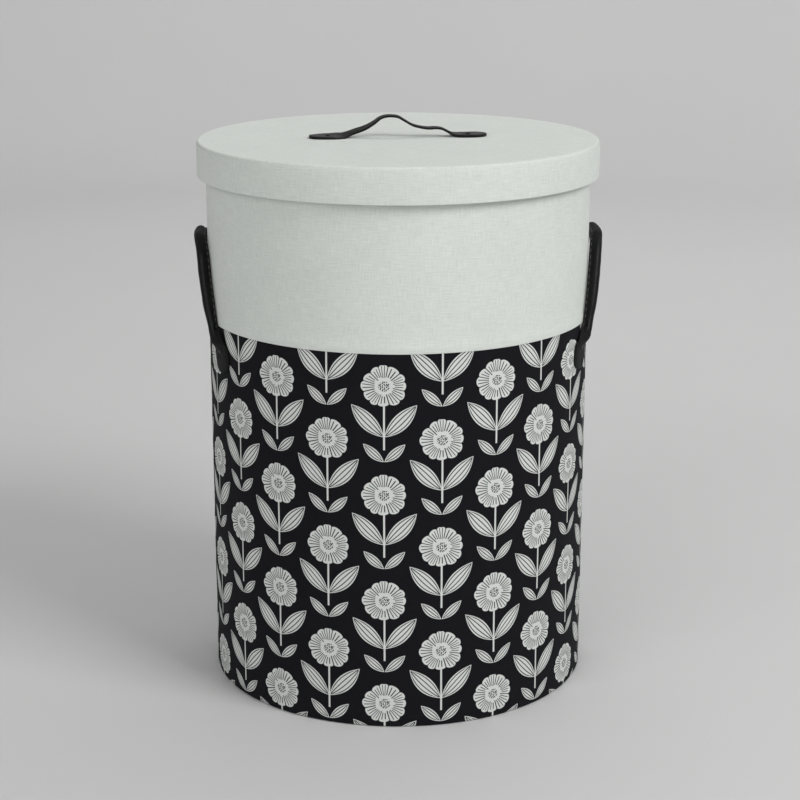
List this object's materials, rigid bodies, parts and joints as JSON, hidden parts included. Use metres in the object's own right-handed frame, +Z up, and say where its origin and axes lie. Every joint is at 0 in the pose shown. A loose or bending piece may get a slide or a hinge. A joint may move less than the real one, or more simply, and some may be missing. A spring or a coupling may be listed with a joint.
{
  "type": "hat box",
  "caption": "Tall round cloth-covered board box with a lift-off lid, a strap on the lid and two rolled carrying handles.",
  "frame": {"origin": "centre of the underside, on the surface that the box stands on", "axes": "+Z up along the box's axis, +X towards the right-hand carrying handle, -Y towards the front"},
  "size_m": [0.3726, 0.3652, 0.5218],
  "materials": {
    "greyboard": "uncoated grey-brown board",
    "paper_black": "matt black paper",
    "printed_cotton": "black cotton with a white flower print",
    "linen": "white slubbed linen",
    "paper_lining": "matt off-white paper",
    "leather": "black, soft sheen",
    "rivet": "blackened steel",
    "washer": "nickel-plated steel",
    "cord": "cotton cord",
    "thread": "waxed black thread"
  },
  "bodies": {
    "box": {"wall_board": "greyboard", "base_board": "greyboard", "underside_paper": "paper_black", "printed_cover": "printed_cotton", "linen_cover": "linen", "wall_lining": "paper_lining", "floor_liner": "paper_lining", "right_front_tab": "leather", "right_rear_tab": "leather", "left_front_tab": "leather", "left_rear_tab": "leather", "right_tab_rivets": "rivet", "left_tab_rivets": "rivet", "right_tab_washers": "washer", "left_tab_washers": "washer"},
    "lid": {"lid_rim_board": "greyboard", "lid_top_board": "greyboard", "lid_top_cover": "linen", "lid_side_band": "linen", "lid_top_lining": "paper_lining", "lid_rim_lining": "paper_lining", "lid_strap": "leather", "strap_rivets": "rivet", "strap_washers": "washer"},
    "right_handle": {"right_grip_leather": "leather", "right_grip_cord": "cord", "right_grip_stitching": "thread"},
    "left_handle": {"left_grip_leather": "leather", "left_grip_cord": "cord", "left_grip_stitching": "thread"}
  },
  "joints": [
    {"name": "lid_lift", "type": "slide", "parent": "box", "child": "lid", "axis": [0, 0, 1], "range_m": [0, 0.12]},
    {"name": "right_handle_swing", "type": "hinge", "parent": "box", "child": "right_handle", "pos_m": [0.1701, 0, 0.336], "axis": [0, 1, 0], "range_deg": [0, 120], "stiffness_Nm_per_rad": 0.15, "springref_deg": -2.86},
    {"name": "left_handle_swing", "type": "hinge", "parent": "box", "child": "left_handle", "pos_m": [-0.1701, 0, 0.336], "axis": [0, -1, 0], "range_deg": [0, 120], "stiffness_Nm_per_rad": 0.15, "springref_deg": -2.86}
  ]
}
